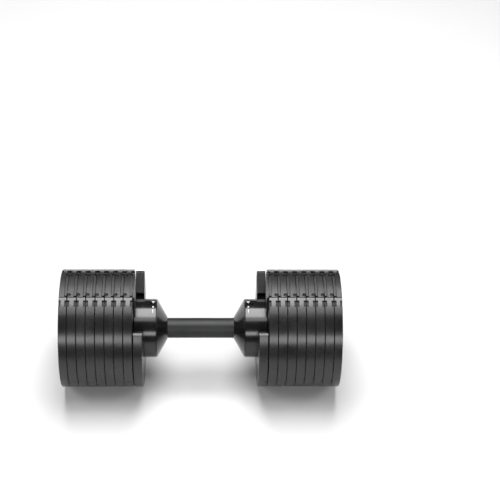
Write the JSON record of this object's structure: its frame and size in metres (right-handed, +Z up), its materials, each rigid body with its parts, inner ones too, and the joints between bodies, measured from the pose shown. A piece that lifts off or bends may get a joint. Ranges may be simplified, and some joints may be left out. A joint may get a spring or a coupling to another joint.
{
  "type": "adjustable dumbbell",
  "caption": "Adjustable dumbbell: turning the grip slides two rods through interlocking round weight plates to pick the weight.",
  "frame": {"origin": "middle of the grip, on the axis that grip, drums and plates share", "axes": "+X along the dumbbell towards its right-hand plates, +Z up, towards the open top of the inner plates and the dial windows"},
  "size_m": [0.422, 0.18, 0.18],
  "materials": {
    "plate": "satin black powder coat over steel",
    "wedge": "satin black powder coat over steel",
    "inner_plate": "satin black powder coat",
    "gloss_shell": "gloss black moulding",
    "dial": "matte black moulding with white numbers",
    "plunger": "matte black moulding",
    "grip": "dark matte coat over fine knurling",
    "steel": "turned steel",
    "rod_steel": "ground steel",
    "ball_steel": "polished",
    "spring_steel": "drawn wire",
    "screw": "black oxide",
    "bronze": "sintered bronze"
  },
  "bodies": {
    "handle": {"core_tube": "steel", "left_cone_cover": "gloss_shell", "left_drum": "gloss_shell", "left_drum_screws": "screw", "left_end_plate": "plate", "left_grip_bush": "bronze", "left_hook_wedges": "wedge", "left_hub": "steel", "left_index_ball": "ball_steel", "left_index_spring": "spring_steel", "left_inner_plate": "inner_plate", "left_plate_1": "plate", "left_plate_2": "plate", "left_plate_3": "plate", "left_plate_4": "plate", "left_plate_5": "plate", "left_plate_6": "plate", "left_plate_7": "plate", "left_plate_8": "plate", "left_plunger_guide": "steel", "left_plunger_spring": "spring_steel", "left_wedge_screws": "screw", "right_cone_cover": "gloss_shell", "right_drum": "gloss_shell", "right_drum_screws": "screw", "right_end_plate": "plate", "right_grip_bush": "bronze", "right_hook_wedges": "wedge", "right_hub": "steel", "right_index_ball": "ball_steel", "right_index_spring": "spring_steel", "right_inner_plate": "inner_plate", "right_plate_1": "plate", "right_plate_2": "plate", "right_plate_3": "plate", "right_plate_4": "plate", "right_plate_5": "plate", "right_plate_6": "plate", "right_plate_7": "plate", "right_plate_8": "plate", "right_plunger_guide": "steel", "right_plunger_spring": "spring_steel", "right_wedge_screws": "screw"},
    "grip": {"grip_tube": "grip", "drive_sleeve": "steel", "left_dial": "dial", "right_dial": "dial"},
    "right_rod": {"right_selector_rod": "rod_steel", "right_follower_pin": "rod_steel"},
    "left_rod": {"left_selector_rod": "rod_steel", "left_follower_pin": "rod_steel"},
    "right_plunger": {"right_release_plunger": "plunger"},
    "left_plunger": {"left_release_plunger": "plunger"}
  },
  "joints": [
    {"name": "grip_turn", "type": "hinge", "parent": "handle", "child": "grip", "pos_m": [0, 0, 0], "axis": [1, 0, 0], "range_deg": [0, 320]},
    {"name": "right_rod_slide", "type": "slide", "parent": "handle", "child": "right_rod", "axis": [-1, 0, 0], "range_m": [0, 0.11088]},
    {"name": "left_rod_slide", "type": "slide", "parent": "handle", "child": "left_rod", "axis": [1, 0, 0], "range_m": [0, 0.11088]},
    {"name": "right_release_press", "type": "slide", "parent": "handle", "child": "right_plunger", "axis": [0, 0, 1], "range_m": [0, 0.0025], "stiffness_N_per_m": 600, "springref_m": -0.004, "deforming": ["right_plunger_spring"]},
    {"name": "left_release_press", "type": "slide", "parent": "handle", "child": "left_plunger", "axis": [0, 0, 1], "range_m": [0, 0.0025], "stiffness_N_per_m": 600, "springref_m": -0.004, "deforming": ["left_plunger_spring"]}
  ],
  "couplings": [
    {"joint": "right_rod_slide", "follows": "grip_turn", "m_per_rad": 0.019853},
    {"joint": "left_rod_slide", "follows": "grip_turn", "m_per_rad": 0.019853}
  ]
}
